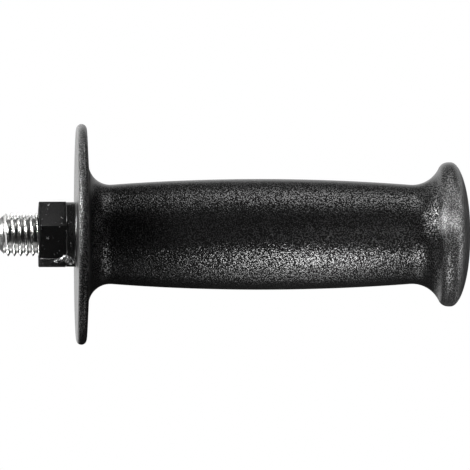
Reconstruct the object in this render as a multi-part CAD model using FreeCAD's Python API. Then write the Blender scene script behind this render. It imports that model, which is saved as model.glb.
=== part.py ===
import FreeCAD, Part
import math
import os

from FreeCAD import Vector

# Side handle for a power tool: a one-piece plastic moulding round a steel bolt, in millimetres.
# The origin is the middle of the collar's seat face, +X runs along the grip to its domed end, +Z is up.

# Threaded end of the bolt, drawn at the major diameter of its thread
thread_diameter = 14.0
thread_reach = 12.6  # from the seat face out to the tip
tip_bevel = 2.2

# The rest of the bolt, held in the moulding
shank_diameter = 12.7
shank_length = 24.0  # from the seat face in to the head
head_across_flats = 21.0
head_height = 8.8

# Hexagonal collar that a spanner turns, with its seat face at X = 0
collar_across_flats = 19.0
collar_length = 8.75
collar_turn = 14.5  # degrees from -Y up to the nearest corner
collar_edge_radius = 0.4
seat_bevel = 0.4

# Round shoulder between the collar and the guard
shoulder_diameter = 20.8
shoulder_length = 3.4
shoulder_root_bevel = 0.7

# Guard disc with a full round rim, and a front face that leans back by its draft
guard_diameter = 71.0
guard_rim_thickness = 3.3
guard_draft = 3.0  # degrees
guard_root_radius = 7.0

# Grip: a long swell between two necks
neck_diameter = 31.8
swell_rise = 1.9  # of the swell's middle above the necks

# Flared end: a hollow, a round lip and a narrow land, closed by a shallow dome
flare_hollow_radius = 9.5
flare_lip_radius = 3.3
flare_land = 0.8  # straight stretch between the lip and the dome
flare_diameter = 46.4
dome_height = 6.35
handle_length = 138.9  # from the seat face to the top of the dome

# Dished scar of the moulding gate, torn across the collar's lower corner and the shoulder
scar_width = 5.8
scar_depth = 0.8
scar_inset = 0.65  # from the collar's end back to the scar's middle
scar_turn = 58.0  # degrees from -Y down to the scar

# Places along the axis that follow from the sizes above
guard_rear = collar_length + shoulder_length
dome_place = handle_length - dome_height
lip_place = dome_place - flare_land

ALONG = Vector(1, 0, 0)


def profile_point(x, radius):
    return Vector(x, 0, radius)


def turned(radius, degrees, x=0.0):
    # Point at a radius, turned by degrees from -Y towards +Z about the axis
    angle = math.radians(degrees)
    return Vector(x, -radius * math.cos(angle), radius * math.sin(angle))


def straight(start, end):
    return Part.LineSegment(start, end).toShape()


def arc(centre, start, end):
    # The shorter arc about centre
    middle = (start - centre).normalize() + (end - centre).normalize()
    radius = (start - centre).Length
    return Part.Arc(start, centre + middle.normalize() * radius, end).toShape()


def hexagon_prism(across_flats, x, length, turn):
    corner_radius = across_flats / 2 / math.cos(math.radians(30))
    corners = [turned(corner_radius, turn + 60 * i, x) for i in range(6)]
    outline = Part.makePolygon(corners + corners[:1])
    return Part.Face(outline).extrude(ALONG * length)


def touch(centre, radius, other_centre, other_radius):
    # Point where two outside-tangent circles touch
    share = radius / (radius + other_radius)
    return centre + (other_centre - centre) * share


def grip_swell():
    # Centre and radius of the long arc that rises by swell_rise midway between the necks
    neck_radius = neck_diameter / 2
    flare_drop = flare_hollow_radius + neck_radius - (flare_diameter / 2 - flare_lip_radius)
    flare_run = math.sqrt((flare_hollow_radius + flare_lip_radius) ** 2 - flare_drop**2)
    guard_neck = guard_rear + guard_rim_thickness + guard_root_radius
    flare_neck = lip_place - flare_run
    half_span = (flare_neck - guard_neck) / 2
    radius = (half_span**2 + swell_rise**2) / (2 * swell_rise)
    middle = (guard_neck + flare_neck) / 2
    return profile_point(middle, neck_radius + swell_rise - radius), radius


def guard_root_centre(rim_centre, face_normal, swell_centre, swell_radius):
    # Centre of the root arc, which touches both the guard's front face and the swell
    start = rim_centre + face_normal * (guard_rim_thickness / 2 + guard_root_radius)
    inward = Vector(face_normal.z, 0, -face_normal.x)
    reach = swell_radius + guard_root_radius
    across = (swell_centre - start).dot(inward)
    aside = (swell_centre - start - inward * across).Length
    return start + inward * (across - math.sqrt(reach**2 - aside**2))


def flare_hollow_centre(swell_centre, swell_radius, lip_centre):
    # Centre of the hollow arc, which touches both the swell and the flare's lip
    line = lip_centre - swell_centre
    span = line.Length
    reach = swell_radius + flare_hollow_radius
    lip_reach = flare_lip_radius + flare_hollow_radius
    along = (reach**2 - lip_reach**2 + span**2) / (2 * span)
    line.normalize()
    towards_guard = Vector(-line.z, 0, line.x)
    return swell_centre + line * along + towards_guard * math.sqrt(reach**2 - along**2)


def shoulder_and_guard_edges(rim_centre, face_normal):
    shoulder_radius = shoulder_diameter / 2
    rim_radius = guard_rim_thickness / 2
    bottom = profile_point(collar_length, 0)
    edge = profile_point(collar_length, shoulder_radius)
    root_start = profile_point(guard_rear - shoulder_root_bevel, shoulder_radius)
    root_end = profile_point(guard_rear, shoulder_radius + shoulder_root_bevel)
    rim_rear = rim_centre - ALONG * rim_radius
    rim_top = rim_centre + profile_point(0, rim_radius)
    rim_front = rim_centre + face_normal * rim_radius
    return [
        straight(bottom, edge),
        straight(edge, root_start),
        straight(root_start, root_end),
        straight(root_end, rim_rear),
        Part.Arc(rim_rear, rim_top, rim_front).toShape(),
    ]


def grip_edges(rim_centre, face_normal):
    swell_centre, swell_radius = grip_swell()
    root_centre = guard_root_centre(rim_centre, face_normal, swell_centre, swell_radius)
    lip_centre = profile_point(lip_place, flare_diameter / 2 - flare_lip_radius)
    hollow_centre = flare_hollow_centre(swell_centre, swell_radius, lip_centre)
    face_top = rim_centre + face_normal * (guard_rim_thickness / 2)
    face_bottom = root_centre - face_normal * guard_root_radius
    swell_start = touch(swell_centre, swell_radius, root_centre, guard_root_radius)
    swell_top = swell_centre + profile_point(0, swell_radius)
    swell_end = touch(swell_centre, swell_radius, hollow_centre, flare_hollow_radius)
    lip_start = touch(hollow_centre, flare_hollow_radius, lip_centre, flare_lip_radius)
    lip_end = lip_centre + profile_point(0, flare_lip_radius)
    return [
        straight(face_top, face_bottom),
        arc(root_centre, face_bottom, swell_start),
        arc(swell_centre, swell_start, swell_top),
        arc(swell_centre, swell_top, swell_end),
        arc(hollow_centre, swell_end, lip_start),
        arc(lip_centre, lip_start, lip_end),
        straight(lip_end, lip_end + ALONG * flare_land),
    ]


def dome_edge():
    # Quarter of an ellipse, from the flare's land over to the axis
    centre = profile_point(dome_place, 0)
    top = profile_point(dome_place, flare_diameter / 2)
    tip = profile_point(handle_length, 0)
    quarter = Part.ArcOfEllipse(Part.Ellipse(top, tip, centre), 0, math.pi / 2)
    return quarter.toBSpline().toShape()


def turned_body():
    # Shoulder, guard, grip and dome as one outline turned about the axis
    rim_radius = guard_rim_thickness / 2
    rim_centre = profile_point(guard_rear + rim_radius, guard_diameter / 2 - rim_radius)
    draft = math.radians(guard_draft)
    face_normal = Vector(math.cos(draft), 0, math.sin(draft))
    edges = shoulder_and_guard_edges(rim_centre, face_normal)
    edges += grip_edges(rim_centre, face_normal)
    edges.append(dome_edge())
    edges.append(straight(profile_point(handle_length, 0), profile_point(collar_length, 0)))
    outline = Part.Wire(edges)
    return Part.Face(outline).revolve(Vector(0, 0, 0), ALONG, 360)


def collar():
    # Hexagonal prism with round long edges and a bevel round its seat face
    prism = hexagon_prism(collar_across_flats, 0, collar_length, collar_turn)
    long_edges = [e for e in prism.Edges if 0 < e.CenterOfMass.x < collar_length]
    rounded = prism.makeFillet(collar_edge_radius, long_edges)
    seat_edges = [e for e in rounded.Edges if e.BoundBox.XMax < seat_bevel]
    return rounded.makeChamfer(seat_bevel, seat_edges)


def gate_scar():
    # Round-nosed plug that leaves the dish of the torn gate on the collar's lower corner
    facet_turn = 90 - collar_turn
    surface = collar_across_flats / 2 / math.cos(math.radians(scar_turn - facet_turn))
    ball_radius = ((scar_width / 2) ** 2 + scar_depth**2) / (2 * scar_depth)
    place = collar_length - scar_inset
    ball = Part.makeSphere(ball_radius, turned(surface + ball_radius - scar_depth, -scar_turn, place))
    floor = turned(surface - scar_depth, -scar_turn, place)
    plug = Part.makeCylinder(scar_width / 2, ball_radius, floor, turned(1, -scar_turn))
    return plug.common(ball)


def bolt():
    # Threaded end with a bevelled tip, plain shank and hexagonal head
    radius = thread_diameter / 2
    end = Part.makeCylinder(radius, thread_reach - tip_bevel, Vector(tip_bevel - thread_reach, 0, 0), ALONG)
    tip = Part.makeCone(radius - tip_bevel, radius, tip_bevel, Vector(-thread_reach, 0, 0), ALONG)
    shank = Part.makeCylinder(shank_diameter / 2, shank_length, Vector(0, 0, 0), ALONG)
    head = hexagon_prism(head_across_flats, shank_length, head_height, 0)
    return end.fuse([tip, shank, head]).removeSplitter()


def moulding(steel):
    # The plastic is formed round the bolt, so its cavity is the bolt's own shape
    body = collar().fuse(turned_body())
    return body.cut(gate_scar()).cut(steel)


def save(name, shape):
    solid = shape.Solids[0]
    if len(shape.Solids) != 1 or not solid.isValid():
        raise ValueError(name + " isn't one valid solid")
    solid.exportStep("parts/" + name + ".step")
    print(name, round(solid.Volume / 1000, 2), "cubic cm")


os.makedirs("parts", exist_ok=True)
stud = bolt()
save("threaded_stud", stud)
save("grip_moulding", moulding(stud))
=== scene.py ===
import math

import bmesh
import bpy
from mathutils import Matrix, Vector, noise


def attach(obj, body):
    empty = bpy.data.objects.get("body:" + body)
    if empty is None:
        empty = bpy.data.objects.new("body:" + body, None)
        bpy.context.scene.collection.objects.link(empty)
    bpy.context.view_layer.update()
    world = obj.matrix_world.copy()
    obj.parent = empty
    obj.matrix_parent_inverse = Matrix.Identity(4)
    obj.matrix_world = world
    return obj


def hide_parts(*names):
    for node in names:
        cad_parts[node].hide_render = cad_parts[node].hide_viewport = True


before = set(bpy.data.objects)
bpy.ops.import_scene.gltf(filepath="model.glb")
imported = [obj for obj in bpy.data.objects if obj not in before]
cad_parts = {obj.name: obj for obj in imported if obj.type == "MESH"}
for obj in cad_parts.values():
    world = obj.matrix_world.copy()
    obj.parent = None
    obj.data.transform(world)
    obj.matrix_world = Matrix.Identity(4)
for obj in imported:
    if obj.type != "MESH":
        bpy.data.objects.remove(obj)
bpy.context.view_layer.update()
mm = 0.001  # sizes are in millimetres and angles in degrees, unless a note says otherwise
print("frame loaded:", ", ".join(sorted(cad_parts)))


# Camera: a long lens a little to the left, so that the guard shows a sliver of its rear face

cameraView = {
    "target": (63.2, 0, -0.2),  # what the middle of the picture shows
    "distance": 5000,
    "turn": 1.98,  # to the left of straight on
    "frameWidth": 151.1,  # across the picture at the target
    "sensorWidth": 36,
}


def placeCamera():
    turn = math.radians(cameraView["turn"])
    target = Vector(cameraView["target"]) * mm
    back = Vector((-math.sin(turn), -math.cos(turn), 0))
    lens = bpy.data.cameras.new("camera")
    lens.sensor_width = cameraView["sensorWidth"]
    lens.lens = cameraView["sensorWidth"] * cameraView["distance"] / cameraView["frameWidth"]
    camera = bpy.data.objects.new("camera", lens)
    camera.location = target + back * cameraView["distance"] * mm
    camera.rotation_mode = "QUATERNION"
    camera.rotation_quaternion = (-back).to_track_quat("-Z", "Y")
    bpy.context.collection.objects.link(camera)
    bpy.context.scene.camera = camera


placeCamera()
bpy.context.scene.view_settings.view_transform = "Standard"
print("camera placed")


# Shader maths: a wrapped socket adds Math nodes when it stands in an expression

noiseMiddle = 0.5  # what a noise texture gives on average


class Value:
    def __init__(self, shader, socket):
        self.shader = shader
        self.socket = socket

    def other(self, name):
        # Another output of the same node
        return Value(self.shader, self.socket.node.outputs[name])

    def __add__(self, right):
        return self.shader.maths("ADD", self, right)

    def __radd__(self, left):
        return self.shader.maths("ADD", left, self)

    def __sub__(self, right):
        return self.shader.maths("SUBTRACT", self, right)

    def __rsub__(self, left):
        return self.shader.maths("SUBTRACT", left, self)

    def __mul__(self, right):
        return self.shader.maths("MULTIPLY", self, right)

    def __rmul__(self, left):
        return self.shader.maths("MULTIPLY", left, self)

    def __pow__(self, right):
        return self.shader.maths("POWER", self, right)

    def __rpow__(self, left):
        return self.shader.maths("POWER", left, self)

    def maximum(self, right):
        return self.shader.maths("MAXIMUM", self, right)

    def fade(self, start, end, low=0, high=1):
        # low up to start, then smoothly to high at end
        ends = {"From Min": start, "From Max": end, "To Min": low, "To Max": high}
        steps = {"interpolation_type": "SMOOTHSTEP"}
        return self.shader.add("ShaderNodeMapRange", steps, {"Value": self, **ends})

    def fadeAlong(self, places, low=0, high=1):
        # As fade, between two places in millimetres
        return self.fade(places[0] * mm, places[1] * mm, low, high)


class Shader:
    def __init__(self, owner):
        owner.use_nodes = True
        self.tree = owner.node_tree
        self.tree.nodes.clear()

    def add(self, kind, settings={}, sockets={}, output=0):
        # A node of any type: its settings are set first, then its sockets get their values or links
        node = self.tree.nodes.new(kind)
        for name, setting in settings.items():
            setattr(node, name, setting)
        for name, value in sockets.items():
            if isinstance(value, Value):
                self.tree.links.new(value.socket, node.inputs[name])
            else:
                node.inputs[name].default_value = value
        return Value(self, node.outputs[output]) if len(node.outputs) else None

    def maths(self, operation, left, right):
        return self.add("ShaderNodeMath", {"operation": operation}, {0: left, 1: right})

    def mixColours(self, share, first, second):
        # A Mix node's colours are its inputs 6 and 7 and its output 2
        sockets = {0: share, 6: first, 7: second}
        return self.add("ShaderNodeMix", {"data_type": "RGBA"}, sockets, 2)

    def position(self):
        return self.add("ShaderNodeTexCoord", output="Object")

    def split(self, vector):
        # The three parts of a vector
        x = self.add("ShaderNodeSeparateXYZ", sockets={0: vector}, output="X")
        return x, x.other("Y"), x.other("Z")

    def rays(self):
        # Rays that come straight from the camera, and those that come by way of gloss or glass
        camera = self.add("ShaderNodeLightPath", output="Is Camera Ray")
        return camera, camera.other("Is Glossy Ray").maximum(camera.other("Is Transmission Ray"))

    def noiseAt(self, place, size, detail=2, roughness=0.5):
        # size is the width of one blotch
        sockets = {"Vector": place, "Scale": 1 / (size * mm), "Detail": detail, "Roughness": roughness}
        return self.add("ShaderNodeTexNoise", {"noise_dimensions": "3D"}, sockets)


def fromAxis(across, height):
    # Distance of a place from the X axis
    return (across * across + height * height) ** 0.5


# Numbers: even steps, and curves that go from 0 to 1

def evenly(start, end, steps):
    return [start + (end - start) * i / steps for i in range(steps + 1)]


def clamped(value):
    return min(1, max(0, value))


def ramp(value, start, end):
    # 0 up to start, then straight up to 1 at end
    return clamped((value - start) / (end - start))


def bell(offset, width):
    return math.exp(-((offset / width) ** 2))


# Mesh helpers: a surface is a list of rings round the X axis, each a list of (x, radius) at the shared turns

weldDistance = 0.004  # points nearer to each other than this become one
hexSector = 60  # from one corner of a hexagon to the next


def roundTheAxis(x, radius, turn):
    # turn goes from -Y up towards +Z
    angle = math.radians(turn)
    return Vector((x, -radius * math.cos(angle), radius * math.sin(angle))) * mm


def hexCorner(apothem, edgeRadius):
    # Distance from the axis to the middle of a corner's rounding
    return (apothem - edgeRadius) / math.cos(math.radians(hexSector / 2))


def hexCornerHalf(apothem, edgeRadius):
    # Half the angle that a corner's rounding takes up
    along = hexCorner(apothem, edgeRadius) + edgeRadius * math.cos(math.radians(hexSector / 2))
    return math.degrees(math.atan2(edgeRadius / 2, along))


def hexRadius(apothem, edgeRadius, cornerTurn, turn):
    # Distance from the axis out to a hexagon with rounded corners
    aside = abs((turn - cornerTurn + hexSector / 2) % hexSector - hexSector / 2)
    if aside < hexCornerHalf(apothem, edgeRadius):
        corner = hexCorner(apothem, edgeRadius)
        angle = math.radians(aside)
        return corner * math.cos(angle) + math.sqrt(edgeRadius**2 - (corner * math.sin(angle)) ** 2)
    return apothem / math.cos(math.radians(hexSector / 2 - aside))


def ringAround(x, radius, turns):
    return [(x, radius) for turn in turns]


def hexagonRing(x, apothem, edgeRadius, cornerTurn, turns):
    return [(x, hexRadius(apothem, edgeRadius, cornerTurn, turn)) for turn in turns]


def ringSurface(name, turns, rings, firstTip, lastTip):
    # Rings joined by quads, and closed at both ends by a fan about a point of the axis
    count = len(turns)
    points = [roundTheAxis(x, radius, turn) for ring in rings for turn, (x, radius) in zip(turns, ring)]
    faces = []
    for row in range(len(rings) - 1):
        for i in range(count):
            near = row * count + i
            beside = row * count + (i + 1) % count
            faces.append((near, beside, beside + count, near + count))
    for tip, row in ((firstTip, 0), (lastTip, len(rings) - 1)):
        points.append(Vector((tip, 0, 0)) * mm)
        faces += [(len(points) - 1, row * count + i, row * count + (i + 1) % count) for i in range(count)]
    mesh = bpy.data.meshes.new(name)
    mesh.from_pydata(points, [], faces)
    return mesh


def finishMesh(mesh, sharpAngle):
    work = bmesh.new()
    work.from_mesh(mesh)
    bmesh.ops.remove_doubles(work, verts=work.verts, dist=weldDistance * mm)
    bmesh.ops.recalc_face_normals(work, faces=work.faces)
    work.to_mesh(mesh)
    work.free()
    mesh.polygons.foreach_set("use_smooth", [True] * len(mesh.polygons))
    mesh.set_sharp_from_angle(angle=math.radians(sharpAngle))


def addPiece(name, mesh, material, node):
    piece = bpy.data.objects.new(name, mesh)
    bpy.context.collection.objects.link(piece)
    mesh.materials.append(material)
    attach(piece, "root")
    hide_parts(node)
    print(name, "built:", len(mesh.vertices), "points")


# Grained black plastic: spark-eroded grain, smoother collar, a pale sheen painted as a highlight on the
# guard's rim and the flare's lip, and pale torn plastic at the gate, painted whiter as a highlight on its
# crest

plasticLook = {
    "peakColour": (0.007, 0.007, 0.0073, 1),
    "pitColour": (0.002, 0.002, 0.002, 1),
    "smoothColour": (0.0035, 0.0035, 0.0035, 1),  # of the collar and shoulder
    "sheenAndNickColour": (0.38, 0.38, 0.38, 1),  # pale, painted as a highlight on the rims and the lip, and of the collar's nicks
    # pale torn plastic at the gate, whitened further as a painted highlight on the lip's crest
    "tornGlintColour": (0.95, 0.95, 0.95, 1),
    "grainSize": 0.42,
    "grainHeight": 0.11,
    "grainStart": (11, 12.6),  # from the seat face, from smooth shoulder to grained guard
    "smoothGrain": 0.2,  # how much of the grain the collar and shoulder have
    "mottleSize": 1.2,  # of the low, soft texture that they have besides
    "mottleHeight": 0.4,  # share of the grain's height
    "pitSize": 0.4,
    "pitEdges": (0.51, 0.58),  # of the noise, from matt pit to glossy peak
    "nickSize": 1.1,
    "nickEdges": (0.66, 0.74),  # of the noise, from whole plastic to a nick
    "nickWear": 0.5,  # how pale a nick is, where 1 is the full pale colour
    "blotchSize": 9,  # of slow changes in gloss
    "roughness": 0.22,  # of the smooth collar, to which the next four are added
    "grainRoughness": 0.08,
    "blotchRoughness": 0.1,
    "tornRoughness": 0.15,
    "sheenAndNickRoughness": 0.1,
    "pitRoughness": 0.6,
    "shine": 1.0,  # how much the peaks reflect, where 0.5 is 4% straight on
    "pitShine": 0.1,
    "pitSheenAndNicks": 0.4,  # how much of the painted sheen and the nicks the pits get
    "refraction": 1.5,
    "grazing": (0.55, 0.85),  # from pits that show to none, as the surface turns edge on
    "seatEdge": (0.3, 0.7),  # from the seat face, which is matt, to the collar's side
}
# Painted highlight: a pale sheen laid on the guard's rim and the flare's lip where light falls on them
paintedSheen = {
    "guardRim": (33.2, 34.4),  # from the axis, from none to the full painted sheen
    "guardHeights": (-12, 4),  # above the axis, from least to most painted sheen
    "guardSheen": (0.06, 0.28),
    "lipStart": (128.4, 130.6),  # from the seat face
    "lipEnd": (134.2, 136.4),
    "lipHeights": (-6, 6),  # above the axis, from least to most painted sheen
    "lipSheen": (0.14, 0.4),
    "lipTop": (12, 19),  # above the axis, where the painted sheen lessens again
    "lipTopShare": 0.3,
    "patchPlace": (130.9, 22.6, 11),  # x, radius and turn of the lip's brightest patch of painted highlight
    "patchReach": (1, 6.5),  # from its middle
    "blotchSize": 5,
    "blotchEdges": (0.3, 0.6),
    "leastBlotch": 0.7,  # share of the painted sheen that stays between blotches
}


def paintedRimSheen(shader, place):
    # Painted highlight as a pale sheen: a little on the guard's rim and the flare's lip, and most on one
    # patch of the lip
    along, across, height = shader.split(place)
    rim = fromAxis(across, height).fadeAlong(paintedSheen["guardRim"])
    rimSheen = height.fadeAlong(paintedSheen["guardHeights"], *paintedSheen["guardSheen"])
    lip = along.fadeAlong(paintedSheen["lipStart"]) * along.fadeAlong(paintedSheen["lipEnd"], 1, 0)
    lipSheen = height.fadeAlong(paintedSheen["lipHeights"], *paintedSheen["lipSheen"])
    lipTop = height.fadeAlong(paintedSheen["lipTop"], 1, paintedSheen["lipTopShare"])
    centre = roundTheAxis(*paintedSheen["patchPlace"])
    offset = shader.add("ShaderNodeVectorMath", {"operation": "DISTANCE"}, {0: place, 1: centre}, "Value")
    patch = offset.fadeAlong(paintedSheen["patchReach"], 1, 0)
    blotch = shader.noiseAt(place, paintedSheen["blotchSize"])
    paled = (rim * rimSheen).maximum(lip * (lipSheen * lipTop)).maximum(patch)
    return paled * blotch.fade(*paintedSheen["blotchEdges"], paintedSheen["leastBlotch"], 1)


def plasticRelief(shader, place, grained):
    # Bumps of the grain, and of a low mottle where the plastic is smooth
    grain = shader.noiseAt(place, plasticLook["grainSize"], detail=0)
    mottle = shader.noiseAt(place, plasticLook["mottleSize"], detail=3, roughness=0.6)
    mottle *= plasticLook["mottleHeight"]
    relief = mottle + (grain - mottle) * grained
    bump = {"Height": relief, "Strength": 1.0, "Distance": plasticLook["grainHeight"] * mm}
    return shader.add("ShaderNodeBump", sockets=bump)


def glossyPlastic(shader, place, grained, tornAndGlint, sheenAndNicks, relief):
    # Of the collar, the grain's peaks and the torn gate
    look = plasticLook
    blotch = shader.noiseAt(place, look["blotchSize"])
    clean = shader.mixColours(grained, look["smoothColour"], look["peakColour"])
    # the painted sheen and the collar's nicks, in one pale colour
    paled = shader.mixColours(sheenAndNicks, clean, look["sheenAndNickColour"])
    roughness = grained * look["grainRoughness"] + look["roughness"]
    roughness += (blotch - noiseMiddle) * look["blotchRoughness"]
    roughness += tornAndGlint * look["tornRoughness"]
    roughness += sheenAndNicks * look["sheenAndNickRoughness"]
    sockets = {
        # pale torn lip, painted whiter as a highlight on its crest
        "Base Color": shader.mixColours(tornAndGlint, paled, look["tornGlintColour"]),
        "Roughness": roughness,
        "IOR": look["refraction"],
        "Specular IOR Level": look["shine"],
        "Normal": relief,
    }
    return shader.add("ShaderNodeBsdfPrincipled", sockets=sockets)


def mattPlastic(shader, sheenAndNicks, relief):
    # Of the grain's pits and the seat face
    look = plasticLook
    # the pits' share of the painted sheen and of the nicks
    pitSheenAndNickShare = sheenAndNicks * look["pitSheenAndNicks"]
    sockets = {
        "Base Color": shader.mixColours(pitSheenAndNickShare, look["pitColour"], look["sheenAndNickColour"]),
        "Roughness": look["pitRoughness"],
        "IOR": look["refraction"],
        "Specular IOR Level": look["pitShine"],
        "Normal": relief,
    }
    return shader.add("ShaderNodeBsdfPrincipled", sockets=sockets)


def plasticMaterial():
    look = plasticLook
    material = bpy.data.materials.new("grainedBlackPlastic")
    shader = Shader(material)
    place = shader.position()
    along = shader.split(place)[0]
    grained = along.fadeAlong(look["grainStart"], look["smoothGrain"], 1)
    tornAndGlint = shader.add("ShaderNodeAttribute", {"attribute_name": "tornAndGlint"}, output="Fac")
    nicks = shader.noiseAt(place, look["nickSize"]).fade(*look["nickEdges"], 0, look["nickWear"])
    # painted highlight as a pale sheen on the rims and the lip, together with pale nicks on the smooth
    # collar
    sheenAndNicks = paintedRimSheen(shader, place).maximum(nicks * (1 - grained))
    relief = plasticRelief(shader, place, grained)
    glossy = glossyPlastic(shader, place, grained, tornAndGlint, sheenAndNicks, relief)
    matt = mattPlastic(shader, sheenAndNicks, relief)
    peak = shader.noiseAt(place, look["pitSize"], detail=0).fade(*look["pitEdges"])
    facing = shader.add("ShaderNodeLayerWeight", sockets={"Blend": 0.5}, output="Facing")
    pitless = tornAndGlint.maximum(facing.fade(*look["grazing"]))
    share = (1 - (1 - peak) * grained).maximum(pitless) * along.fadeAlong(look["seatEdge"])
    surface = shader.add("ShaderNodeMixShader", sockets={0: share, 1: matt, 2: glossy})
    shader.add("ShaderNodeOutputMaterial", sockets={"Surface": surface})
    return material


# Moulding: the solid's outline, with round edges on the seat face and the shoulder, and the torn gate

moulding = {
    "collarAcrossFlats": 19,
    "collarLength": 8.75,
    "collarTurn": 14.5,  # from -Y up to the nearest corner
    "edgeRadius": 0.4,
    "shoulderRadius": 10.4,
    "shoulderEdge": 0.3,
    "shoulderRoot": 0.7,
    "guardRear": 12.15,
    "guardRadius": 35.49,  # a hair inside the solid's
    "rimRadius": 1.65,
    "guardDraft": 3,
    "guardRoot": 7,
    "neckRadius": 15.9,
    "swellRise": 1.9,
    "hollowRadius": 9.5,
    "lipRadius": 3.3,
    "land": 0.8,
    "flareRadius": 23.2,
    "domeHeight": 6.35,
    "length": 138.9,
    "seatRing": 8.2,  # radius of a ring of points on the seat face
    "boreRadius": 6.35,
    "boreDepth": 24,
    "headAcrossFlats": 21,
    "headEdge": 0.02,
    "headDepth": 32.8,
    "sharpAngle": 40,
}
mouldingSteps = {
    # how finely each stretch of the mesh is divided, first round the axis and then along it
    "corner": 8,
    "facet": 30,
    "gateTurns": 90,
    "gateSpan": 24,  # degrees each side of the gate's middle
    "leastTurn": 0.12,  # degrees between neighbours
    "seatEdge": 4,
    "wholeCollar": 4,
    "tornCollar": 36,
    "shoulderEdge": 5,
    "shoulder": 20,
    "shoulderRoot": 7,
    "guardRear": 6,
    "rim": 8,
    "guardFront": 6,
    "guardRoot": 14,
    "swell": 44,
    "hollow": 12,
    "lip": 10,
    "dome": 26,
}
gate = {
    "place": 8.1,  # from the seat face
    "turn": -58,  # from -Y up
    "radius": 2.9,
    "reach": 4.64,  # from its middle, past which nothing is torn
    "start": 4.8,  # from the seat face to where the collar's mesh grows fine
    "guardGap": 0.1,  # between what is torn and the guard
    "surfaceRadius": 10.1,  # at which distances round the axis are measured
    "depth": 0.8,
    "edgeDrop": 0.02,  # of the floor's edge below the collar
    "floorRoughness": 0.16,
    "floorScale": 1.9,  # of its noise, per mm
    "floorFractal": (0.9, 2.1, 4),  # dimension, lacunarity and octaves
    "edgeShare": 0.98,  # of the radius, where the edge is neither dented nor wavy
    "edgeWave": 0.1,  # share of the radius, by which it wanders
    "edgeScale": 2.2,
    "edgeSeed": 3,
    "dent": 0.3,  # share of the radius
    "dentTurn": 138,  # from the dome's side up
    "dentWidth": 30,
    "lipHeight": 0.46,
    "lipWidth": 0.26,
    "lipStart": (-2.4, -1.0),  # above its middle, from no lip to the whole of it
    "lipLevel": 0.6,  # of the ragged lip, and how much it goes up and down
    "lipSwing": 1.8,
    "lipScale": 1.7,  # of its noise, per mm
    "lipSeed": (6, 2, 4.5),
    "paleness": 2.6,  # how soon a raised lip turns pale, as torn plastic with a painted highlight
}


def arcPoints(centre, start, end, steps):
    # Points on the shorter arc about centre, both ends included
    first, last = start - centre, end - centre
    angle = first.angle_signed(last)
    radius = first.length
    base = math.atan2(first.y, first.x)
    return [
        centre + Vector((math.cos(base - angle * i / steps), math.sin(base - angle * i / steps))) * radius
        for i in range(steps + 1)
    ]


def touch(centre, radius, otherCentre, otherRadius):
    # Point where two outside-tangent circles touch
    return centre + (otherCentre - centre) * (radius / (radius + otherRadius))


def swellArc():
    # Centre and radius of the long arc between the two necks
    m = moulding
    reach = m["hollowRadius"] + m["lipRadius"]
    drop = m["hollowRadius"] + m["neckRadius"] - (m["flareRadius"] - m["lipRadius"])
    guardNeck = m["guardRear"] + 2 * m["rimRadius"] + m["guardRoot"]
    flareNeck = m["length"] - m["domeHeight"] - m["land"] - math.sqrt(reach**2 - drop**2)
    half = (flareNeck - guardNeck) / 2
    radius = (half**2 + m["swellRise"] ** 2) / (2 * m["swellRise"])
    return Vector(((guardNeck + flareNeck) / 2, m["neckRadius"] + m["swellRise"] - radius)), radius


def guardRootCentre(rimCentre, faceNormal, swellCentre, swellRadius):
    # Centre of the root arc, which touches both the guard's front face and the swell
    m = moulding
    start = rimCentre + faceNormal * (m["rimRadius"] + m["guardRoot"])
    inward = Vector((faceNormal.y, -faceNormal.x))
    across = (swellCentre - start).dot(inward)
    aside = (swellCentre - start - inward * across).length
    return start + inward * (across - math.sqrt((swellRadius + m["guardRoot"]) ** 2 - aside**2))


def flareHollowCentre(swellCentre, swellRadius, lipCentre):
    # Centre of the hollow arc, which touches both the swell and the flare's lip
    m = moulding
    line = lipCentre - swellCentre
    span = line.length
    reach = swellRadius + m["hollowRadius"]
    along = (reach**2 - (m["lipRadius"] + m["hollowRadius"]) ** 2 + span**2) / (2 * span)
    line.normalize()
    return swellCentre + line * along + Vector((-line.y, line.x)) * math.sqrt(reach**2 - along**2)


def guardPoints(rimCentre, faceNormal, faceBottom):
    # Outline of (x, radius) over the guard's rim and down its front face
    steps = mouldingSteps
    rimRadius = moulding["rimRadius"]
    rimRear = rimCentre - Vector((rimRadius, 0))
    rimTop = rimCentre + Vector((0, rimRadius))
    faceTop = rimCentre + faceNormal * rimRadius
    points = arcPoints(rimCentre, rimRear, rimTop, steps["rim"])
    points += arcPoints(rimCentre, rimTop, faceTop, steps["rim"])[1:]
    points += [faceTop.lerp(faceBottom, share) for share in evenly(0, 1, steps["guardFront"])[1:]]
    return points


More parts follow.
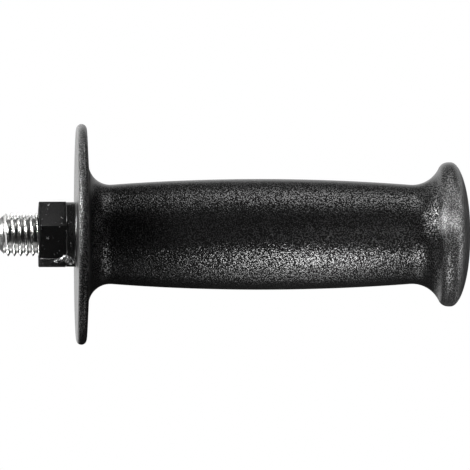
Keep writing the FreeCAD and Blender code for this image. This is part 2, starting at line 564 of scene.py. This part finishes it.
def guardAndGrip():
    # Outline of (x, radius) from the guard's rear face to the end of the flare's land
    m = moulding
    steps = mouldingSteps
    swellCentre, swellRadius = swellArc()
    draft = math.radians(m["guardDraft"])
    faceNormal = Vector((math.cos(draft), math.sin(draft)))
    rimCentre = Vector((m["guardRear"] + m["rimRadius"], m["guardRadius"] - m["rimRadius"]))
    rootCentre = guardRootCentre(rimCentre, faceNormal, swellCentre, swellRadius)
    faceBottom = rootCentre - faceNormal * m["guardRoot"]
    landEnd = m["length"] - m["domeHeight"]
    lipCentre = Vector((landEnd - m["land"], m["flareRadius"] - m["lipRadius"]))
    hollowCentre = flareHollowCentre(swellCentre, swellRadius, lipCentre)
    swellStart = touch(swellCentre, swellRadius, rootCentre, m["guardRoot"])
    swellEnd = touch(swellCentre, swellRadius, hollowCentre, m["hollowRadius"])
    lipStart = touch(hollowCentre, m["hollowRadius"], lipCentre, m["lipRadius"])
    lipTop = lipCentre + Vector((0, m["lipRadius"]))
    points = guardPoints(rimCentre, faceNormal, faceBottom)
    points += arcPoints(rootCentre, faceBottom, swellStart, steps["guardRoot"])[1:]
    points += arcPoints(swellCentre, swellStart, swellEnd, steps["swell"])[1:]
    points += arcPoints(hollowCentre, swellEnd, lipStart, steps["hollow"])[1:]
    points += arcPoints(lipCentre, lipStart, lipTop, steps["lip"])[1:]
    points.append(Vector((landEnd, m["flareRadius"])))
    return points


def domePoints():
    # Quarter of an ellipse from the land, without its two ends
    m = moulding
    points = []
    for degrees in evenly(0, 90, mouldingSteps["dome"])[1:-1]:
        angle = math.radians(degrees)
        x = m["length"] - m["domeHeight"] + m["domeHeight"] * math.sin(angle)
        points.append(Vector((x, m["flareRadius"] * math.cos(angle))))
    return points


def gateEdge(turn):
    # Distance of the torn edge from the gate's middle, where turn goes from the dome's side up
    angle = math.radians(turn)
    wave = noise.noise(Vector((math.cos(angle), math.sin(angle), gate["edgeSeed"])) * gate["edgeScale"])
    dent = gate["dent"] * bell(turn - gate["dentTurn"], gate["dentWidth"])
    return gate["radius"] * (gate["edgeShare"] - dent + gate["edgeWave"] * wave)


def gateFloor(place, inside):
    # Radius of the rough floor, where inside goes from 0 at the gate's middle to 1 at its edge
    m = moulding
    collar = hexRadius(m["collarAcrossFlats"] / 2, m["edgeRadius"], m["collarTurn"], gate["turn"])
    dish = gate["depth"] * (1 - inside**2) + gate["edgeDrop"]
    rough = gate["floorRoughness"] * noise.fractal(place * gate["floorScale"], *gate["floorFractal"])
    return collar - dish + rough * (1 - inside**4)


def gateShape(x, turn, radius):
    # Radius after the gate was torn out, and how pale the raised lip is painted: stretched torn plastic,
    # with a painted highlight on its crest
    away = x - gate["place"]
    up = math.radians(turn - gate["turn"]) * gate["surfaceRadius"]
    distance = math.hypot(away, up)
    if distance > gate["reach"] or x > moulding["guardRear"] - gate["guardGap"]:
        return radius, 0
    place = Vector((x, up, 0))
    edge = gateEdge(math.degrees(math.atan2(up, away)))
    if distance < edge:
        radius = min(radius, gateFloor(place, distance / edge))
    ridge = bell(distance - edge, gate["lipWidth"]) * ramp(up, *gate["lipStart"])
    ragged = noise.noise(place * gate["lipScale"] + Vector(gate["lipSeed"]))
    lip = ridge * clamped(gate["lipLevel"] + gate["lipSwing"] * ragged)
    return radius + gate["lipHeight"] * lip, clamped(lip * gate["paleness"])


def mouldingTurns():
    # From -180 up to 180, close together at the collar's corners and across the torn gate
    m = moulding
    steps = mouldingSteps
    half = hexCornerHalf(m["collarAcrossFlats"] / 2, m["edgeRadius"])
    turns = []
    for headCorner in range(-180, 180, hexSector):  # of the bolt's head, which the collar is turned from
        corner = headCorner + m["collarTurn"]
        turns.append(headCorner)
        turns += evenly(corner - half, corner + half, steps["corner"])
        turns += evenly(corner + half, corner + hexSector - half, steps["facet"])
    turns += evenly(gate["turn"] - steps["gateSpan"], gate["turn"] + steps["gateSpan"], steps["gateTurns"])
    ordered = []
    for turn in sorted((turn + 180) % 360 - 180 for turn in turns):
        if not ordered or turn - ordered[-1] > steps["leastTurn"]:
            ordered.append(turn)
    return ordered


def boreRings(turns):
    # The bolt's cavity, from the bottom of its head out to the seat face
    m = moulding
    apothem = m["headAcrossFlats"] / 2
    return [
        hexagonRing(m["headDepth"], apothem, m["headEdge"], 0, turns),
        hexagonRing(m["boreDepth"], apothem, m["headEdge"], 0, turns),
        ringAround(m["boreDepth"], m["boreRadius"], turns),
        ringAround(0, m["boreRadius"], turns),
        ringAround(0, m["seatRing"], turns),
    ]


def collarRings(turns):
    # The seat face's round edge, then the collar's side, which gets close rings where the gate tore it
    m = moulding
    flat = m["collarAcrossFlats"] / 2
    edge = m["edgeRadius"]
    rings = []
    for angle in evenly(0, 90, mouldingSteps["seatEdge"]):
        inset = edge * (1 - math.sin(math.radians(angle)))
        x = edge * (1 - math.cos(math.radians(angle)))
        rings.append(hexagonRing(x, flat - inset, edge, m["collarTurn"], turns))
    places = evenly(edge, gate["start"], mouldingSteps["wholeCollar"])[1:]
    places += evenly(gate["start"], m["collarLength"], mouldingSteps["tornCollar"])[1:]
    for x in places:
        rings.append(hexagonRing(x, flat, edge, m["collarTurn"], turns))
    return rings


def shoulderRings(turns, collarEnd):
    # The shoulder's edge, less round near the collar's corners, then its side and its root
    m = moulding
    rings = []
    rooms = [min(m["shoulderEdge"], max(0, m["shoulderRadius"] - radius)) for x, radius in collarEnd]
    for angle in evenly(0, 90, mouldingSteps["shoulderEdge"]):
        back = 1 - math.cos(math.radians(angle))
        down = 1 - math.sin(math.radians(angle))
        ring = [(m["collarLength"] + room * back, m["shoulderRadius"] - room * down) for room in rooms]
        rings.append(ring)
    rootStart = m["guardRear"] - m["shoulderRoot"]
    for x in evenly(m["collarLength"] + m["shoulderEdge"], rootStart, mouldingSteps["shoulder"]):
        rings.append(ringAround(x, m["shoulderRadius"], turns))
    for angle in evenly(0, 90, mouldingSteps["shoulderRoot"])[1:]:
        x = rootStart + m["shoulderRoot"] * math.sin(math.radians(angle))
        rise = m["shoulderRoot"] * (1 - math.cos(math.radians(angle)))
        rings.append(ringAround(x, m["shoulderRadius"] + rise, turns))
    return rings


def mouldingRings(turns):
    m = moulding
    collar = collarRings(turns)
    rings = boreRings(turns) + collar + shoulderRings(turns, collar[-1])
    rearStart = m["shoulderRadius"] + m["shoulderRoot"]
    rearEnd = m["guardRadius"] - m["rimRadius"]
    for radius in evenly(rearStart, rearEnd, mouldingSteps["guardRear"])[1:-1]:
        rings.append(ringAround(m["guardRear"], radius, turns))
    for x, radius in guardAndGrip() + domePoints():
        rings.append(ringAround(x, radius, turns))
    return rings


def makeMoulding():
    turns = mouldingTurns()
    rings = []
    tornAndGlint = []
    for ring in mouldingRings(turns):
        shapes = [gateShape(x, turn, radius) for turn, (x, radius) in zip(turns, ring)]
        rings.append([(x, reach) for (x, radius), (reach, pale) in zip(ring, shapes)])
        tornAndGlint += [pale for reach, pale in shapes]
    mesh = ringSurface("handleMoulding", turns, rings, moulding["headDepth"], moulding["length"])
    # where the torn lip is pale: torn plastic, painted whiter as a highlight
    mark = mesh.attributes.new("tornAndGlint", "FLOAT", "POINT")
    mark.data.foreach_set("value", tornAndGlint + [0, 0])  # the two tips come last
    finishMesh(mesh, moulding["sharpAngle"])
    addPiece("handleMoulding", mesh, plasticMaterial(), "grip_moulding")


makeMoulding()


# Bright zinc on steel: painted shade in the thread's roots, a little uneven in gloss

zincLook = {
    "colour": (0.78, 0.78, 0.77, 1),
    # painted shade in the thread's roots
    "rootShadeColour": (0.06, 0.06, 0.058, 1),
    "rootRadii": (5.8, 6.5),  # from the painted shade of the root to the bright flank
    "rootShare": 0.7,  # how much of the painted shade the root keeps between blotches
    "roughness": 0.17,
    "blotchSize": 1.4,
    "blotchEdges": (0.3, 0.7),
    "blotchRoughness": 0.16,
    "rootRoughness": 0.2,
    "scuffSize": 0.35,
    "scuffHeight": 0.006,
}


def zincMaterial():
    look = zincLook
    material = bpy.data.materials.new("brightZinc")
    shader = Shader(material)
    place = shader.position()
    radius = fromAxis(*shader.split(place)[1:])
    blotch = shader.noiseAt(place, look["blotchSize"], detail=3, roughness=0.6)
    scuff = shader.noiseAt(place, look["scuffSize"], roughness=0.6)
    dark = blotch.fade(*look["blotchEdges"], look["rootShare"], 1)
    # painted shade in the thread's roots, blotchy
    root = radius.fadeAlong(look["rootRadii"], 1, 0) * dark
    roughness = look["roughness"] + (blotch - noiseMiddle) * look["blotchRoughness"]
    bump = {"Height": scuff, "Strength": 1.0, "Distance": look["scuffHeight"] * mm}
    sockets = {
        "Base Color": shader.mixColours(root, look["colour"], look["rootShadeColour"]),
        "Metallic": 1.0,
        "Roughness": roughness + root * look["rootRoughness"],
        "Normal": shader.add("ShaderNodeBump", sockets=bump),
    }
    surface = shader.add("ShaderNodeBsdfPrincipled", sockets=sockets)
    shader.add("ShaderNodeOutputMaterial", sockets={"Surface": surface})
    return material


# Bolt: a rolled right-hand thread that runs up to the collar, then the plain shank and the head

bolt = {
    "threadRadius": 7,
    "threadReach": 12.6,
    "pitch": 2,
    "threadDepth": 1.2,  # where its flanks would end without the root's rounding
    "crestFlat": 0.14,  # share of the pitch
    "rootFlat": 0.14,  # share of the pitch
    "flankEnd": 0.8,  # share of the depth, below which the root is round
    "rootRound": 0.14,  # share of the depth that the round root adds
    "tipBevel": 2.2,
    "topCrest": -0.75,  # a crest's place on the top line
    "shankRadius": 6.35,
    "shankLength": 24,
    "headAcrossFlats": 21,
    "headEdge": 0.02,
    "headEnd": 32.8,
    "threadSteps": 140,
    "turnSteps": 160,
    "sharpAngle": 50,
}


def threadRadius(x, turn):
    # Crest flat, straight flanks and a round root, cut back by the tip's bevel
    b = bolt
    crest = b["topCrest"] + b["pitch"] * (90 - turn) / 360
    pitches = (x - crest) / b["pitch"]
    share = abs(pitches - round(pitches)) * 2  # from 0 on a crest to 1 in a root
    down = ramp(share, b["crestFlat"], 1 - b["rootFlat"])
    if down > b["flankEnd"]:
        over = (down - b["flankEnd"]) / (1 - b["flankEnd"])
        down = b["flankEnd"] + b["rootRound"] * math.sin(over * math.pi / 2)
    bevel = b["threadRadius"] - b["tipBevel"] + (x + b["threadReach"])
    return min(b["threadRadius"] - b["threadDepth"] * down, bevel)


def boltRings(turns):
    b = bolt
    apothem = b["headAcrossFlats"] / 2
    rings = []
    for x in evenly(-b["threadReach"], 0, b["threadSteps"]):
        rings.append([(x, threadRadius(x, turn)) for turn in turns])
    for x in (0, b["shankLength"]):
        rings.append(ringAround(x, b["shankRadius"], turns))
    for x in (b["shankLength"], b["headEnd"]):
        rings.append(hexagonRing(x, apothem, b["headEdge"], 0, turns))
    return rings


def makeBolt():
    turns = evenly(-180, 180, bolt["turnSteps"])[:-1]
    mesh = ringSurface("threadedBolt", turns, boltRings(turns), -bolt["threadReach"], bolt["headEnd"])
    finishMesh(mesh, bolt["sharpAngle"])
    addPiece("threadedBolt", mesh, zincMaterial(), "threaded_stud")


makeBolt()


# Studio: a pale floor well below the handle, soft lamps all round it, and a white background

studio = {
    "floorDrop": 260,  # below the axis
    "floorWidth": 12000,
    "floorColour": (0.75, 0.75, 0.75, 1),
    "floorMirrored": (0.1, 0.1, 0.1, 1),  # its colour for all rays but the camera's
    "white": (1, 1, 1, 1),
    "surroundings": (0.025, 0.025, 0.025, 1),
    "nearGlow": 0.7,  # how white the camera sees the floor under the handle, where its shadow still shows
    "nearDistances": (350, 800),  # from there to all white
    "glossDistances": (300, 500),  # from there on the handle's gloss can see the floor white
    "floorBehind": (150, 600),  # it does so behind the handle's left half
    "floorBehindLeft": (-250, -130),
    "floorBeside": (-200, 0),  # and to its left
    "floorBesideLeft": (-450, -250),
    # parts of a direction in which the handle's gloss sees the surroundings white
    "skyBehind": (0.6, 0.98),
    "skyBehindLeft": (-0.02, 0.1),
    "skyAbove": (0.05, 0.3),
    "skyBeside": (0.1, 0.4),
    "skyBesideLeft": (-0.6, -0.2),
}
lamps = {
    # aim is a place on the handle's axis; azimuth 0 is the camera's side, 90 the dome's and -90 the stud's
    # spread is how wide a lamp's grid lets its light out
    "topLamp": {  # the grip's upper band of light
        "aim": 114,
        "azimuth": 0,
        "elevation": 84,
        "distance": 260,
        "size": (140, 170),
        "brightness": 1.75,
        "spread": 120,
    },
    "lowLamp": {  # its lower band
        "aim": 95,
        "azimuth": 0,
        "elevation": -52,
        "distance": 130,
        "size": (48, 65),
        "brightness": 3.8,
        "spread": 80,
    },
    "underLamp": {  # the soft edge under that
        "aim": 94,
        "azimuth": 0,
        "elevation": -88,
        "distance": 220,
        "size": (58, 100),
        "brightness": 1.25,
        "spread": 90,
    },
    "studLamp": {  # the thread's front
        "aim": -20,
        "azimuth": 0,
        "elevation": 66,
        "distance": 70,
        "size": (36, 50),
        "brightness": 0.3,
        "spread": 26,
    },
    "crestLamp": {  # the thread's top edge
        "aim": -20,
        "azimuth": 0,
        "elevation": 128,
        "distance": 70,
        "size": (36, 50),
        "brightness": 0.7,
        "spread": 26,
    },
    "collarLamp": {  # the collar's lower facet
        "aim": -16,
        "azimuth": 0,
        "elevation": -110,
        "distance": 80,
        "size": (36, 90),
        "brightness": 0.84,
        "spread": 34,
    },
    "gateLamp": {  # the torn gate
        "aim": -14,
        "azimuth": -24,
        "elevation": -70,
        "distance": 80,
        "size": (30, 30),
        "brightness": 0.9,
        "spread": 36,
    },
    "frontLamp": {  # a little on the flare's front
        "aim": 126,
        "azimuth": 14,
        "elevation": 0,
        "distance": 420,
        "size": (110, 170),
        "brightness": 0.1,
        "spread": 32,
    },
    "keyLamp": {  # the guard from the stud's side, and the flare's hollow
        "aim": 10,
        "azimuth": -90,
        "elevation": 20,
        "distance": 280,
        "size": (110, 143),
        "brightness": 1.6,
        "spread": 34,
    },
    "leftLamp": {  # the guard's rim, broadly
        "aim": 10,
        "azimuth": -60,
        "elevation": 26,
        "distance": 260,
        "size": (280, 350),
        "brightness": 0.56,
        "spread": 28,
    },
    "rimLamp": {  # the guard's rim, in a narrow band
        "aim": 14,
        "azimuth": -56,
        "elevation": 17,
        "distance": 260,
        "size": (60, 120),
        "brightness": 1.1,
        "spread": 18,
    },
    "rightLamp": {  # the flare's lip
        "aim": 140,
        "azimuth": 52,
        "elevation": 18,
        "distance": 110,
        "size": (50, 110),
        "brightness": 1.8,
        "spread": 48,
    },
    "endLamp": {  # the edge of the dome
        "aim": 139,
        "azimuth": 95,
        "elevation": -4,
        "distance": 60,
        "size": (24, 90),
        "brightness": 1.8,
        "spread": 90,
    },
}


def floorMaterial():
    material = bpy.data.materials.new("paleFloor")
    shader = Shader(material)
    camera, mirror = shader.rays()
    place = shader.position()
    distance = shader.add("ShaderNodeVectorMath", {"operation": "LENGTH"}, {0: place}, "Value")
    along, back = shader.split(place)[:2]
    behind = back.fadeAlong(studio["floorBehind"]) * along.fadeAlong(studio["floorBehindLeft"], 1, 0)
    beside = back.fadeAlong(studio["floorBeside"]) * along.fadeAlong(studio["floorBesideLeft"], 1, 0)
    mirrored = mirror * behind.maximum(beside) * distance.fadeAlong(studio["glossDistances"])
    seen = camera * distance.fadeAlong(studio["nearDistances"], studio["nearGlow"], 1)
    colour = shader.mixColours(camera, studio["floorMirrored"], studio["floorColour"])
    card = shader.add("ShaderNodeBsdfDiffuse", sockets={"Color": colour})
    glow = shader.add("ShaderNodeEmission", sockets={"Color": studio["white"], "Strength": 1.0})
    surface = shader.add("ShaderNodeMixShader", sockets={0: seen.maximum(mirrored), 1: card, 2: glow})
    shader.add("ShaderNodeOutputMaterial", sockets={"Surface": surface})
    return material


def makeFloor():
    half = studio["floorWidth"] / 2 * mm
    low = -studio["floorDrop"] * mm
    corners = [(-half, -half, low), (half, -half, low), (half, half, low), (-half, half, low)]
    mesh = bpy.data.meshes.new("floor")
    mesh.from_pydata(corners, [], [(0, 1, 2, 3)])
    mesh.materials.append(floorMaterial())
    floor = bpy.data.objects.new("floor", mesh)
    bpy.context.collection.objects.link(floor)


def makeLamp(name, settings):
    side, up = math.radians(settings["azimuth"]), math.radians(settings["elevation"])
    away = Vector((math.sin(side) * math.cos(up), -math.cos(side) * math.cos(up), math.sin(up)))
    width, height = settings["size"]
    light = bpy.data.lights.new(name, "AREA")
    light.shape = "RECTANGLE"
    light.size = width * mm
    light.size_y = height * mm
    # Seen straight on, a lamp of brightness 1 is white at a spread of 180, and brighter at a narrower one
    light.energy = settings["brightness"] * math.pi * width * height * mm**2
    light.spread = math.radians(settings["spread"])
    lamp = bpy.data.objects.new(name, light)
    lamp.location = Vector((settings["aim"], 0, 0)) * mm + away * settings["distance"] * mm
    lamp.rotation_mode = "QUATERNION"
    lamp.rotation_quaternion = away.to_track_quat("Z", "Y")
    lamp.visible_camera = False
    bpy.context.collection.objects.link(lamp)


def makeWorld():
    world = bpy.data.worlds.new("studio")
    bpy.context.scene.world = world
    shader = Shader(world)
    camera, mirror = shader.rays()
    direction = shader.add("ShaderNodeTexCoord", output="Generated")
    along, back, up = shader.split(direction)
    aside = along.fade(*studio["skyBehindLeft"], 1, 0).maximum(up.fade(*studio["skyAbove"]))
    behind = back.fade(*studio["skyBehind"]) * aside
    beside = back.fade(*studio["skyBeside"]) * along.fade(*studio["skyBesideLeft"], 1, 0)
    white = camera.maximum(mirror * behind.maximum(beside))
    colour = shader.mixColours(white, studio["surroundings"], studio["white"])
    surface = shader.add("ShaderNodeBackground", sockets={"Color": colour, "Strength": 1.0})
    shader.add("ShaderNodeOutputWorld", sockets={"Surface": surface})


makeFloor()
for lampName, lampSettings in lamps.items():
    makeLamp(lampName, lampSettings)
makeWorld()
print("studio lit")
